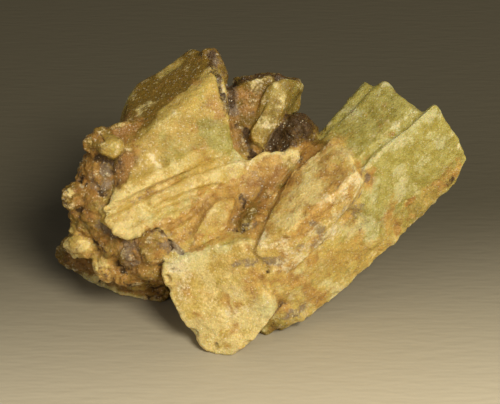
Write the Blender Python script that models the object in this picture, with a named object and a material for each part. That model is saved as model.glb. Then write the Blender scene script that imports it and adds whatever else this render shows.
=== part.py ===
"""Heulandite specimen, 62 mm across: tabular zeolite crystals grown into one another.

Every crystal is a block with some of its corners cut off by flat faces. It belongs to a family of
sub-parallel crystals, which share one orientation. Rounded nodules and crust are ellipsoids. All of
them overlap, so they are joined in one solid, which is then cut off flat where it stands.

Metres, +Z up. The origin is under the middle of the specimen, on the surface it stands on. +X runs
to the right along the longest side, and the well formed faces look towards -Y.
"""
import math

import bmesh
import bpy
from mathutils import Matrix, Vector

MM = 0.001
NODE = "heulandite_specimen"

CHAMFER = 0.35 * MM  # worn edges of the crystals
WELD = 0.02 * MM  # corners closer together than this are one corner
CUT_TOLERANCE = 0.0001 * MM
NODULE_SUBDIVISIONS = 2
FLOOR_CUTTER_WIDTH = 120 * MM
FLOOR_CUTTER_DEPTH = 30 * MM

WAXY_YELLOW = (0.62, 0.45, 0.16, 1.0)
WAXY_ROUGHNESS = 0.45

# Orientation of each family, in degrees: the heading of its front face, turned to the right from -Y;
# how far that face leans back from upright; the rise of the crystals' long side in that face.
FAMILIES = {
    "arm": (29, -1, 31),
    "fish": (-8, 19, 0),
    "block": (11, 35, 0),
    "middle": (4, 37, 0),
    "top": (7, 38, 0),
    "wedge": (-23, 38, 0),
    "rear": (166, 25, 0),
}

# Name, family, centre in mm, and how far the crystal reaches from there in mm: left, right, down, up,
# front and back along its family's directions. Then the faces that cut its corners off. Each has the
# direction it looks in, in degrees anticlockwise from the right; its slope, in degrees towards the
# front; and its distance from the centre in mm.
CRYSTALS = (
    ("arm_top_plate", "arm", (9.2, -3.8, 16.7), (8.5, 18.6, 9.3, 6.3, 5.6, 5.4),
     ((15, 0, 19.2), (90, -45, 6.2), (105, -45, 5.5))),
    ("arm_front_plate", "arm", (9.1, -10.7, 17.9), (6, 22.9, 12.4, 4, 1.1, 1.6),
     ((-55, 50, 14.5), (90, -45, 1.5))),
    ("arm_ledge", "arm", (15.5, -5.4, 9.8), (5, 17, 2, 2, 2.5, 2.2), ((-15, 0, 16.2),)),
    ("arm_low", "arm", (6.3, -8, 11), (6.5, 13, 8.7, 5.7, 5.1, 5), ()),
    ("arm_slab", "arm", (7.4, -8.3, 19.1), (10, 9.3, 3.4, 3.3, 5.3, 3.6),
     ((-70, 47, 5.3), (-4, 13, 9.1), (90, -45, 4.5), (124, -42, 3.8), (160, 64, 7.1))),
    ("arm_back_plate", "arm", (7.3, 0.8, 17.1), (5, 16, 8.3, 5.9, 1.7, 1.7), ((100, -45, 2.8),)),
    ("arm_root", "arm", (2.4, -10.3, 10.6), (4.2, 4.6, 9.2, 5.1, 3, 4.1), ()),
    ("arm_tip", "arm", (0.9, -10.3, 2.9), (2.5, 4.7, 2.1, 2.1, 4.7, 2.6), ()),
    ("fishtail", "fish", (-4, -14.6, 5), (10, 8.2, 6.2, 12, 2.8, 4),
     ((-164, 0, 7), (-146, 0, 5.7), (-123, 0, 5.9), (-43, 0, 5.4), (16, 10, 7.9), (112, 20, 10.1))),
    ("block_front", "block", (-11.2, 3.5, 26.4), (11.4, 7.3, 12.4, 10.8, 6.2, 5.8),
     ((-153, 0, 14.8), (-71, -10, 7.2), (25, 5, 8), (51, 9, 10.1), (118, 0, 6.9), (123, 32, 3.9),
      (145, 0, 7.3), (160, 0, 7.4))),
    ("ridge_upper", "block", (-6.8, -3.4, 21.3), (13, 5.7, 4, 2.7, 2, 6),
     ((-75, -15, 1.1), (-64, -10, 1.4), (34, 0, 5.2), (108, 0, 1.2))),
    ("ridge_lower", "block", (-17, -8.2, 17.3), (4.7, 16.4, 3.5, 6, 2.8, 5.2),
     ((-138, 0, 3.6), (-110, -10, 3.1), (-72, -15, 2.3), (-59, -15, 4.2), (103, 0, 2.2))),
    ("block_edge", "block", (-5.9, 8.6, 30.4), (1.8, 1.6, 6.8, 3.4, 2.2, 4.8),
     ((-139, 0, 4.2), (-21, 0, 2.8), (21, 0, 1.9))),
    ("block_left", "block", (-19.4, -1.2, 24.3), (3.1, 3.2, 4, 3, 3.1, 4.9),
     ((-137, 0, 3.7), (-69, 0, 3.2), (112, 2, 2.8))),
    ("rib_low", "middle", (-8.6, -8.4, 15.8), (4.8, 6.8, 3.1, 5, 2.4, 3.6),
     ((-153, 0, 4.3), (-60, -10, 2.1), (-34, 0, 3.7), (113, 0, 2.1))),
    ("rib_big", "middle", (-4.9, -8.9, 16.6), (4.6, 3.1, 4, 4, 2.4, 4.6),
     ((-54, 0, 1.9), (-25, 0, 1.9), (108, 0, 2.8), (145, 0, 2.3))),
    ("green_band", "middle", (-4, -7.8, 12.4), (9.4, 5.4, 3.8, 4, 4.5, 2.5),
     ((-126, 0, 7.5), (-75, 0, 2.3), (88, 20, 3.2), (112, 5, 2))),
    ("middle_chunk", "middle", (0.7, -2.5, 19.8), (3.9, 6.6, 4.5, 3.5, 3, 5),
     ((-162, 0, 4.5), (-62, -10, 2.7), (-41, 0, 3.4), (31, 0, 6.9), (120, 0, 2.7))),
    ("top_crystal", "top", (3.1, 5.6, 26.5), (4.4, 4.6, 5.8, 4, 4.2, 2.8),
     ((-38, 10, 2.3), (-25, 30, 3.1), (70, 10, 4.5), (111, 0, 2.6), (150, 10, 2.5))),
    ("top_left", "top", (-1.1, 6.9, 26.5), (2.8, 4, 4.9, 3, 4.1, 2.9),
     ((-163, 0, 3.2), (-110, 0, 4.6), (-30, 0, 2.6), (111, 10, 2.9))),
    ("top_rim", "top", (2.8, 8.9, 26.5), (5.3, 4.3, 2.9, 3, 2.8, 3.2),
     ((-120, 0, 2.8), (-31, 0, 4.3), (79, 0, 2.7))),
    ("top_low", "top", (-0.7, 1.7, 21.9), (3.6, 3, 2.5, 4.4, 2.4, 3.6),
     ((-163, 0, 3.2), (45, 0, 2), (72, 0, 3))),
    ("wedge", "wedge", (-19.7, 0.6, 1.8), (11.2, 10, 5.1, 4, 3.3, 8.7),
     ((-146, 0, 9.9), (-111, -19, 4.4), (-95, -30, 2.7), (-76, -20, 4.8), (18, 0, 8.3), (98, 20, 4.5),
      (147, 0, 8.8))),
    ("core", "block", (-2.3, 0, 12.1), (18, 8.5, 11, 14.6, 6, 6),
     ((-147, 0, 14.8), (-101, 0, 11), (-57, 0, 8.2), (45, 0, 10.8), (152, 0, 19.7))),
    ("rear_main", "rear", (4.4, 5.3, 5.1), (9.3, 19.2, 8.5, 14, 7, 7),
     ((34, 0, 18.4), (135, 0, 11.8))),
    ("rear_plate", "rear", (-0.4, 9.2, 11.3), (5.5, 10.5, 9, 5.5, 4, 4), ((54, 0, 7.3),)),
    ("rear_plate_right", "rear", (9.8, 8.8, 4.9), (4.5, 5.2, 4.8, 9, 4, 4), ((45, 0, 7.6), (124, 0, 7.4))),
)

# Name, centre in mm and half sizes in mm of each rounded nodule or patch of crust.
NODULES = (
    ("knob", (6.6, 1.1, 24.5), (2.8, 2.8, 2.8)),
    ("knob_side", (4.5, 0.6, 23.3), (1.7, 1.7, 1.7)),
    ("upper_nodule", (-20, -5.9, 26.8), (1.9, 1.9, 1.9)),
    ("upper_nodule_left", (-22.3, -4.9, 26.5), (1.3, 1.3, 1.3)),
    ("upper_nodule_back", (-20.9, -4.4, 27.8), (1.2, 1.2, 1.2)),
    ("middle_nodule", (-25.4, -6.9, 19.3), (1.9, 1.9, 1.9)),
    ("middle_nodule_low", (-25.2, -6.9, 16.3), (1.4, 1.4, 1.4)),
    ("middle_nodule_foot", (-24.7, -6.9, 14), (1.3, 1.3, 1.3)),
    ("lower_nodule", (-24.2, -7.9, 11.3), (2, 2, 2)),
    ("lower_nodule_left", (-25.9, -7.2, 10.6), (1.4, 1.4, 1.4)),
    ("bottom_nodule", (-21.1, -9.6, 9), (2, 2, 2)),
    ("bottom_nodule_top", (-20.7, -7.9, 10.4), (1.2, 1.2, 1.2)),
    ("crust_lump", (-14, -9.9, 13.7), (1.3, 1.3, 1.3)),
    ("crust_upper", (-22.3, -3.4, 20), (2.6, 3.2, 4)),
    ("crust_middle", (-23.3, -4.4, 14.7), (2.9, 3.2, 3.7)),
    ("crust_lower", (-18.4, -5.4, 8.6), (4, 4, 3.2)),
    ("crust_foot", (-16, -5.4, 5.2), (4, 4, 2.9)),
    ("crust_inner", (-15, -7.9, 9.5), (2.3, 2, 2)),
    ("crust_pocket", (-14.8, -9.5, 11.7), (2.8, 2.4, 2.4)),
    ("crust_side_high", (-21.3, -5, 22.1), (2.6, 3, 3)),
    ("crust_side_mid", (-21.8, -6.2, 18.8), (3, 3, 3.2)),
    ("crust_side_low", (-22.3, -6.9, 15.4), (3, 3, 3)),
    ("crust_under_left", (-19.4, -8.8, 12.9), (2.9, 2.7, 2.7)),
    ("crust_under_mid", (-16.7, -10, 12.7), (2.8, 2.8, 2.8)),
    ("crust_under_right", (-14, -10.9, 13.7), (2.9, 2.7, 2.7)),
    ("crust_foot_left", (-17.8, -9.6, 8.4), (2.6, 2.4, 2.4)),
    ("crust_foot_right", (-14.8, -10.6, 10.3), (2.6, 2.4, 2.4)),
    ("seam_pocket", (-1, -6.1, 15.8), (3.2, 3, 3)),
    ("seam_upper", (1.8, -4.2, 17.4), (3.4, 3.6, 3.2)),
    ("seam_low", (0.7, -7.7, 16.7), (2.6, 2.6, 2.6)),
    ("seam_foot", (-0.2, -9.1, 15.1), (2.4, 2.4, 2.4)),
    ("seam_mid", (2.7, -6.2, 18.1), (2.6, 2.6, 2.6)),
    ("seam_side", (0.6, -9.5, 16.6), (2.8, 2.8, 2.8)),
    ("seam_pit", (-2.3, -8.8, 16.1), (2, 2, 2)),
    ("arm_foot", (6.3, -12.8, 2.6), (1.8, 1.8, 1.8)),
    ("arm_heel", (4.1, -13.3, 2.95), (3, 2.2, 2.6)),
    ("slab_foot", (1.3, -11.1, 15.3), (2.8, 2.4, 2.8)),
    ("rear_crust", (-14, 5, 12), (9, 9, 12.3)),
)


def clear_scene():
    """Remove the objects that are in the scene."""
    for obj in list(bpy.context.scene.objects):
        bpy.data.objects.remove(obj, do_unlink=True)


def new_collection(name):
    """Link a new collection to the scene."""
    collection = bpy.data.collections.new(name)
    bpy.context.scene.collection.children.link(collection)
    return collection


def waxy_material():
    """Pale yellow, slightly waxy crystal."""
    material = bpy.data.materials.new("waxy_yellow_heulandite")
    material.use_nodes = True
    shader = material.node_tree.nodes["Principled BSDF"]
    shader.inputs["Base Color"].default_value = WAXY_YELLOW
    shader.inputs["Roughness"].default_value = WAXY_ROUGHNESS
    shader.inputs["Metallic"].default_value = 0.0
    material.diffuse_color = WAXY_YELLOW
    return material


def family_turn(family):
    """Rotation whose columns are a family's long side, its upward side and its front normal."""
    heading, lean, rise = (math.radians(angle) for angle in FAMILIES[family])
    front = Vector((math.sin(heading) * math.cos(lean), -math.cos(heading) * math.cos(lean), math.sin(lean)))
    level = Vector((math.cos(heading), math.sin(heading), 0.0))
    upward = front.cross(level)
    along = level * math.cos(rise) + upward * math.sin(rise)
    return Matrix((along, front.cross(along), front)).transposed()


def crystal_mesh(name, reach, cuts):
    """A block of the given reach, with corners cut off and its edges worn."""
    left, right, down, up, front, back = (distance * MM for distance in reach)
    size = Matrix.Diagonal((left + right, down + up, front + back, 1))
    middle = Matrix.Translation(((right - left) / 2, (up - down) / 2, (front - back) / 2))
    bm = bmesh.new()
    bmesh.ops.create_cube(bm, size=1.0, matrix=middle @ size)
    for direction, slope, distance in cuts:
        direction, slope = math.radians(direction), math.radians(slope)
        level = math.cos(slope)
        normal = Vector((math.cos(direction) * level, math.sin(direction) * level, math.sin(slope)))
        cut = bmesh.ops.bisect_plane(
            bm, geom=bm.verts[:] + bm.edges[:] + bm.faces[:], plane_co=normal * distance * MM,
            plane_no=normal, clear_outer=True, dist=CUT_TOLERANCE
        )
        rim = [item for item in cut["geom_cut"] if isinstance(item, bmesh.types.BMEdge)]
        if rim:
            bmesh.ops.edgenet_fill(bm, edges=rim)
    bmesh.ops.remove_doubles(bm, verts=bm.verts, dist=WELD)
    bmesh.ops.bevel(
        bm, geom=bm.edges[:], offset=CHAMFER, segments=1, affect="EDGES", clamp_overlap=True
    )
    bmesh.ops.remove_doubles(bm, verts=bm.verts, dist=WELD)
    bmesh.ops.recalc_face_normals(bm, faces=bm.faces)
    mesh = bpy.data.meshes.new(name)
    bm.to_mesh(mesh)
    bm.free()
    return mesh


def nodule_mesh(name, half_sizes):
    """A ball stretched to a nodule's half sizes."""
    bm = bmesh.new()
    stretch = Matrix.Diagonal((*(size * MM for size in half_sizes), 1))
    bmesh.ops.create_icosphere(bm, subdivisions=NODULE_SUBDIVISIONS, radius=1.0, matrix=stretch)
    mesh = bpy.data.meshes.new(name)
    bm.to_mesh(mesh)
    bm.free()
    return mesh


def place(mesh, centre, turn, collection):
    """Put a mesh at a centre in mm, turned as its family is."""
    obj = bpy.data.objects.new(mesh.name, mesh)
    obj.matrix_world = Matrix.Translation(Vector(centre) * MM) @ turn.to_4x4()
    collection.objects.link(obj)
    return obj


def as_guide(obj):
    """Keep an object as a shape that others are joined with or cut by."""
    obj.hide_render = True
    obj.display_type = "WIRE"


def join_with(obj, collection):
    """Unite an object with every shape of a collection."""
    union = obj.modifiers.new("grown_together", "BOOLEAN")
    union.operation = "UNION"
    union.solver = "EXACT"
    union.operand_type = "COLLECTION"
    union.collection = collection


def cut_floor(obj, collection):
    """Cut an object off flat at z = 0."""
    bm = bmesh.new()
    size = Matrix.Diagonal((FLOOR_CUTTER_WIDTH, FLOOR_CUTTER_WIDTH, FLOOR_CUTTER_DEPTH, 1))
    bmesh.ops.create_cube(bm, size=1.0, matrix=Matrix.Translation((0, 0, -FLOOR_CUTTER_DEPTH / 2)) @ size)
    mesh = bpy.data.meshes.new("floor_cutter")
    bm.to_mesh(mesh)
    bm.free()
    cutter = bpy.data.objects.new("floor_cutter", mesh)
    collection.objects.link(cutter)
    as_guide(cutter)
    cut = obj.modifiers.new("flat_where_it_stands", "BOOLEAN")
    cut.operation = "DIFFERENCE"
    cut.solver = "EXACT"
    cut.object = cutter


def build():
    """Make the specimen."""
    clear_scene()
    part = new_collection(NODE)
    grown = new_collection("grown_shapes")
    cutters = new_collection("cutters")
    for name, family, centre, reach, cuts in CRYSTALS:
        as_guide(place(crystal_mesh(name, reach, cuts), centre, family_turn(family), grown))
    for name, centre, half_sizes in NODULES:
        as_guide(place(nodule_mesh(name, half_sizes), centre, Matrix.Identity(3), grown))
    core = grown.objects["core"]
    grown.objects.unlink(core)
    part.objects.link(core)
    core.name = NODE
    core.hide_render = False
    core.display_type = "TEXTURED"
    core.data.materials.append(waxy_material())
    join_with(core, grown)
    cut_floor(core, cutters)


build()
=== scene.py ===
"""Heulandite specimen, 62 mm across: the finished surface of the crystals and of the crust on them.

Everything is worked out in millimetres and becomes metres when a mesh is made. +Z is up, +X runs to
the right along the longest side, and the well formed faces look towards -Y.

Each crystal is a set of flat faces and each nodule a ball. A group of them is grown together into one
skin, which is roughened by noise and by marks along its front. Every point then gets a share of each
tint for the material.
"""
import math

import bpy
import numpy as np
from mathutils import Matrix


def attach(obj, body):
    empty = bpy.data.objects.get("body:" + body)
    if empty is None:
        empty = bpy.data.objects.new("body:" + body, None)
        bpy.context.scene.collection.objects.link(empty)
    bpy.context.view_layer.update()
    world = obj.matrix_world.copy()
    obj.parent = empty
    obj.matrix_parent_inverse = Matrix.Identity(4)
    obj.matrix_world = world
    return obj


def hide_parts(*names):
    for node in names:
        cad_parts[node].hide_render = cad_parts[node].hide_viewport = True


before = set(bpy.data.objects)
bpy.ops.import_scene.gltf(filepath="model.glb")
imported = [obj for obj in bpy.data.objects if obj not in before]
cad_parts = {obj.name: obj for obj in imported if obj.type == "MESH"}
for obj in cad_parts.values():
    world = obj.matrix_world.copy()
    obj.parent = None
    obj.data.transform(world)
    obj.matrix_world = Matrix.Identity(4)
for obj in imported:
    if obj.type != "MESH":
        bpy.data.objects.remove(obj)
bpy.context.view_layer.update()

NODE = "heulandite_specimen"
MM = 0.001
VOXEL = 0.21  # fineness of the surfaces, mm
REAR_VOXEL = 0.34

# How crystals are grown together, in mm.
GRID_STEP = 0.4  # spacing of the points on a crystal's faces before they are grown together
FEWEST_STEPS = 6  # of those points along a small crystal's side
CLEFT = 0.32  # half the width of the widest clefts between crystals that are filled
SHIFT_FLOOR = 0.15  # points lower than this stay where they are while clefts are filled
FILLET = 0.35  # size of the fillets between the groups
FILLET_DEPTH = 2.5  # how far inside another group they have faded out
FINISH_BLEND = 0.8  # how far one crystal's finish runs into the next one's
CREVICE_REACH = 1.2  # how far the dirt and painted shade spread from where two groups meet
FLOOR_POWER = 120  # how sharply the floor cuts the crystals off

# Roughness, in mm.
SWELL_HEIGHT = 0.22
WAVE_HEIGHT = 0.20
TERRACE_HEIGHT = 0.16
TERRACES = 2.2  # growth steps in one swing of their noise
TERRACE_STRETCH = np.array((0.45, 1.0, 1.0))
TERRACE_RAMP = (0.35, 0.65)  # where a step rises, as shares of it
CHIP_DEPTH = 0.40
LUMP_SKIN_HEIGHT = 0.2
WARP = 0.7  # how far the cells of the crust are bent
CREASE_GAP = 0.3  # width of the creases between lumps of crust, in cells
EDGE_REACH = 1.3  # size of the edges and hollows that are told apart
EDGE_STANDS, HOLLOW_LIES = (0.03, 0.22), (0.03, 0.30)  # height or depth where either begins and is full
CREVICE_SHARE, CREASE_SHARE = 0.8, 0.6  # how much gaps between groups and between lumps count as hollow
BASE_HEIGHT = 0.6  # the roughness fades out from here down to the floor
FLAT_BASE = 0.12  # points lower than this lie on the floor
SIDEWAYS_KEPT = 0.4  # the share of the roughness that they keep sideways
MARK_SHAKE = 0.45  # how ragged the rims of the marks' tints are

# Size in mm of each noise or of its cells, and a salt that sets it apart from the others.
SWELL, WAVES, TERRACE, CHIPS = (7.0, 3), (2.3, 11), (3.2, 21), (1.9, 61)
COARSE_SUGAR, FINE_SUGAR = (1.15, 31), (0.55, 41)
LUMPS, SMALL_LUMPS, LUMP_SKIN, LUMP_WARP = (2.3, 51), (1.15, 56), (1.1, 66), (1.9, 141)
PIT_FLOOR, DRIFT, MARK_RIM = (0.9, 71), (4.5, 81), (1.3, 91)
PATCHES, FLECKS, STAINS = (3.8, 101), (1.4, 111), (3.0, 121)

# ---------------------------------------------------------------- the camera, and points seen from it

FRAME_WIDTH, FRAME_HEIGHT = 500, 404
LENS, SENSOR = 100.0, 36.0
CAMERA_ELEVATION = math.radians(35)
CAMERA_DISTANCE = 200.0
CAMERA_TARGET = np.array((-0.4, -5.4, 17.2))
TO_CAMERA = np.array((0.0, -math.cos(CAMERA_ELEVATION), math.sin(CAMERA_ELEVATION)))
CAMERA_UP = np.array((0.0, math.sin(CAMERA_ELEVATION), math.cos(CAMERA_ELEVATION)))
CAMERA_RIGHT = np.array((1.0, 0.0, 0.0))
CAMERA_PLACE = CAMERA_TARGET + TO_CAMERA * CAMERA_DISTANCE

# A ray from the camera starts this far before the target and goes on in steps up to this long, until it
# is this close to a crystal, all in mm, or has made this many steps.
RAY_START, LONGEST_STEP, TOUCHING, MOST_STEPS = 60, 3.0, 0.01, 90

# ---------------------------------------------------------------- crystals

# Orientation of each family, in degrees: the heading of its front face, turned to the right from -Y;
# how far that face leans back from upright; the rise of the crystals' long side in that face.
FAMILIES = {
    "arm": (29, -1, 31),
    "fish": (-8, 19, 0),
    "block": (11, 35, 0),
    "middle": (4, 37, 0),
    "top": (7, 38, 0),
    "wedge": (-23, 38, 0),
    "rear": (166, 25, 0),
}

# Name, finish, family, centre in mm, and how far the crystal reaches from there in mm: left, right,
# down, up, front and back along its family's directions. Then the faces that cut its corners off. Each
# has the direction it looks in, in degrees anticlockwise from the right; its slope, in degrees towards
# the front; and its distance from the centre in mm.
RIGHT_STACK = {
    "arm_top_plate": ("olive", "arm", (9.2, -3.8, 16.7), (8.5, 18.6, 9.3, 6.3, 5.6, 5.4),
        ((15, 0, 19.2), (90, -45, 6.2), (105, -45, 5.5))),
    "arm_front_plate": ("green", "arm", (9.1, -10.7, 17.9), (6, 22.9, 12.4, 4, 1.1, 1.6),
        ((-55, 50, 14.5), (90, -45, 1.5))),
    "arm_ledge": ("rusty", "arm", (15.5, -5.4, 9.8), (5, 17, 2, 2, 2.5, 2.2), ((-15, 0, 16.2),)),
    "arm_low": ("mottled", "arm", (6.3, -8, 11), (6.5, 13, 8.7, 5.7, 5.1, 5), ()),
    "arm_slab": ("orange", "arm", (7.4, -8.3, 19.1), (10, 9.3, 3.4, 3.3, 5.3, 3.6),
        ((-70, 47, 5.3), (-4, 13, 9.1), (90, -45, 4.5), (124, -42, 3.8), (160, 64, 7.1))),
    "arm_back_plate": ("olive", "arm", (7.3, 0.8, 17.1), (5, 16, 8.3, 5.9, 1.7, 1.7), ((100, -45, 2.8),)),
    "arm_root": ("mottled", "arm", (2.4, -10.3, 10.6), (4.2, 4.6, 9.2, 5.1, 3, 4.1), ()),
    "arm_tip": ("dark_olive", "arm", (0.9, -10.3, 2.9), (2.5, 4.7, 2.1, 2.1, 4.7, 2.6), ()),
    "fishtail": ("cream", "fish", (-4, -14.6, 5), (10, 8.2, 6.2, 12, 2.8, 4),
        ((-164, 0, 7), (-146, 0, 5.7), (-123, 0, 5.9), (-43, 0, 5.4), (16, 10, 7.9), (112, 20, 10.1))),
}
UPPER_BLOCK = {
    "block_front": ("dull", "block", (-11.2, 3.5, 26.4), (11.4, 7.3, 12.4, 10.8, 6.2, 5.8),
        ((-153, 0, 14.8), (-71, -10, 7.2), (25, 5, 8), (51, 9, 10.1), (118, 0, 6.9), (123, 32, 3.9),
         (145, 0, 7.3), (160, 0, 7.4))),
    "ridge_upper": ("waxy", "block", (-6.8, -3.4, 21.3), (13, 5.7, 4, 2.7, 2, 6),
        ((-75, -15, 1.1), (-64, -10, 1.4), (34, 0, 5.2), (108, 0, 1.2))),
    "ridge_lower": ("waxy", "block", (-17, -8.2, 17.3), (4.7, 16.4, 3.5, 6, 2.8, 5.2),
        ((-138, 0, 3.6), (-110, -10, 3.1), (-72, -15, 2.3), (-59, -15, 4.2), (103, 0, 2.2))),
    "block_edge": ("edge_crust", "block", (-5.9, 8.6, 30.4), (1.8, 1.6, 6.8, 3.4, 2.2, 4.8),
        ((-139, 0, 4.2), (-21, 0, 2.8), (21, 0, 1.9))),
    "block_left": ("tan", "block", (-19.4, -1.2, 24.3), (3.1, 3.2, 4, 3, 3.1, 4.9),
        ((-137, 0, 3.7), (-69, 0, 3.2), (112, 2, 2.8))),
    "rib_low": ("mottled", "middle", (-8.6, -8.4, 15.8), (4.8, 6.8, 3.1, 5, 2.4, 3.6),
        ((-153, 0, 4.3), (-60, -10, 2.1), (-34, 0, 3.7), (113, 0, 2.1))),
    "rib_big": ("rib", "middle", (-4.9, -8.9, 16.6), (4.6, 3.1, 4, 4, 2.4, 4.6),
        ((-54, 0, 1.9), (-25, 0, 1.9), (108, 0, 2.8), (145, 0, 2.3))),
    "green_band": ("green", "middle", (-4, -7.8, 12.4), (9.4, 5.4, 3.8, 4, 4.5, 2.5),
        ((-126, 0, 7.5), (-75, 0, 2.3), (88, 20, 3.2), (112, 5, 2))),
    "middle_chunk": ("mottled", "middle", (0.7, -2.5, 19.8), (3.9, 6.6, 4.5, 3.5, 3, 5),
        ((-162, 0, 4.5), (-62, -10, 2.7), (-41, 0, 3.4), (31, 0, 6.9), (120, 0, 2.7))),
    "top_crystal": ("dim", "top", (3.1, 5.6, 26.5), (4.4, 4.6, 5.8, 4, 4.2, 2.8),
        ((-38, 10, 2.3), (-25, 30, 3.1), (70, 10, 4.5), (111, 0, 2.6), (150, 10, 2.5))),
    "top_left": ("brown", "top", (-1.1, 6.9, 26.5), (2.8, 4, 4.9, 3, 4.1, 2.9),
        ((-163, 0, 3.2), (-110, 0, 4.6), (-30, 0, 2.6), (111, 10, 2.9))),
    "top_rim": ("dark_olive", "top", (2.8, 8.9, 26.5), (5.3, 4.3, 2.9, 3, 2.8, 3.2),
        ((-120, 0, 2.8), (-31, 0, 4.3), (79, 0, 2.7))),
    "top_low": ("brown", "top", (-0.7, 1.7, 21.9), (3.6, 3, 2.5, 4.4, 2.4, 3.6),
        ((-163, 0, 3.2), (45, 0, 2), (72, 0, 3))),
}
LEFT_WEDGE = {
    "wedge": ("dark_crust", "wedge", (-19.7, 0.6, 1.8), (11.2, 10, 5.1, 4, 3.3, 8.7),
        ((-146, 0, 9.9), (-111, -19, 4.4), (-95, -30, 2.7), (-76, -20, 4.8), (18, 0, 8.3), (98, 20, 4.5),
         (147, 0, 8.8))),
}
REAR = {
    "core": ("rusty", "block", (-2.3, 0, 12.1), (18, 8.5, 11, 14.6, 6, 6),
        ((-147, 0, 14.8), (-101, 0, 11), (-57, 0, 8.2), (45, 0, 10.8), (152, 0, 19.7))),
    "rear_main": ("mottled", "rear", (4.4, 5.3, 5.1), (9.3, 19.2, 8.5, 14, 7, 7),
        ((34, 0, 18.4), (135, 0, 11.8))),
    "rear_plate": ("waxy", "rear", (-0.4, 9.2, 11.3), (5.5, 10.5, 9, 5.5, 4, 4), ((54, 0, 7.3),)),
    "rear_plate_right": ("green", "rear", (9.8, 8.8, 4.9), (4.5, 5.2, 4.8, 9, 4, 4),
        ((45, 0, 7.6), (124, 0, 7.4))),
}

# Name, finish, centre in mm, and radius or three half sizes in mm of each rounded nodule or patch of
# crust.
KNOB_AND_SEAM = {
    "knob": ("knob", (6.6, 1.1, 24.5), 2.8),
    "knob_side": ("knob", (4.5, 0.6, 23.3), 1.7),
    "seam_pocket": ("brown", (-1, -6.1, 15.8), (3.2, 3, 3)),
    "seam_upper": ("stained", (1.8, -4.2, 17.4), (3.4, 3.6, 3.2)),
    "seam_low": ("brown", (0.7, -7.7, 16.7), 2.6),
    "seam_foot": ("brown", (-0.2, -9.1, 15.1), 2.4),
    "seam_mid": ("stained", (2.7, -6.2, 18.1), 2.6),
    "seam_side": ("brown", (0.6, -9.5, 16.6), 2.8),
    "seam_pit": ("brown", (-2.3, -8.8, 16.1), 2),
}
ARM_FILLS = {
    "arm_foot": ("mottled", (6.3, -12.8, 2.6), 1.8),
    "arm_heel": ("dark_olive", (4.1, -13.3, 2.95), (3, 2.2, 2.6)),
    "slab_foot": ("orange", (1.3, -11.1, 15.3), (2.8, 2.4, 2.8)),
}
LEFT_CRUST = {
    "upper_nodule": ("grey_nodule", (-20, -5.9, 26.8), 1.9),
    "upper_nodule_left": ("rusty", (-22.3, -4.9, 26.5), 1.3),
    "upper_nodule_back": ("rusty", (-20.9, -4.4, 27.8), 1.2),
    "middle_nodule": ("tan_nodule", (-25.4, -6.9, 19.3), 1.9),
    "middle_nodule_low": ("tan_nodule", (-25.2, -6.9, 16.3), 1.4),
    "middle_nodule_foot": ("nodule", (-24.7, -6.9, 14), 1.3),
    "lower_nodule": ("nodule", (-24.2, -7.9, 11.3), 2),
    "lower_nodule_left": ("nodule", (-25.9, -7.2, 10.6), 1.4),
    "bottom_nodule": ("nodule", (-21.1, -9.6, 9), 2),
    "bottom_nodule_top": ("nodule", (-20.7, -7.9, 10.4), 1.2),
    "crust_lump": ("cream", (-14, -9.9, 13.7), 1.3),
    "crust_upper": ("rusty", (-22.3, -3.4, 20), (2.6, 3.2, 4)),
    "crust_middle": ("rusty", (-23.3, -4.4, 14.7), (2.9, 3.2, 3.7)),
    "crust_lower": ("rusty", (-18.4, -5.4, 8.6), (4, 4, 3.2)),
    "crust_foot": ("dark_crust", (-16, -5.4, 5.2), (4, 4, 2.9)),
    "crust_inner": ("mottled", (-15, -7.9, 9.5), (2.3, 2, 2)),
    "crust_pocket": ("mottled", (-14.8, -9.5, 11.7), (2.8, 2.4, 2.4)),
    "crust_side_high": ("rusty", (-21.3, -5, 22.1), (2.6, 3, 3)),
    "crust_side_mid": ("rusty", (-21.8, -6.2, 18.8), (3, 3, 3.2)),
    "crust_side_low": ("rusty", (-22.3, -6.9, 15.4), 3),
    "crust_under_left": ("rusty", (-19.4, -8.8, 12.9), (2.9, 2.7, 2.7)),
    "crust_under_mid": ("rusty", (-16.7, -10, 12.7), 2.8),
    "crust_under_right": ("rusty", (-14, -10.9, 13.7), (2.9, 2.7, 2.7)),
    "crust_foot_left": ("rusty", (-17.8, -9.6, 8.4), (2.6, 2.4, 2.4)),
    "crust_foot_right": ("rusty", (-14.8, -10.6, 10.3), (2.6, 2.4, 2.4)),
}
REAR_CRUST = {"rear_crust": ("rusty", (-14, 5, 12), (9, 9, 12.3))}

# ---------------------------------------------------------------- finishes

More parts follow.
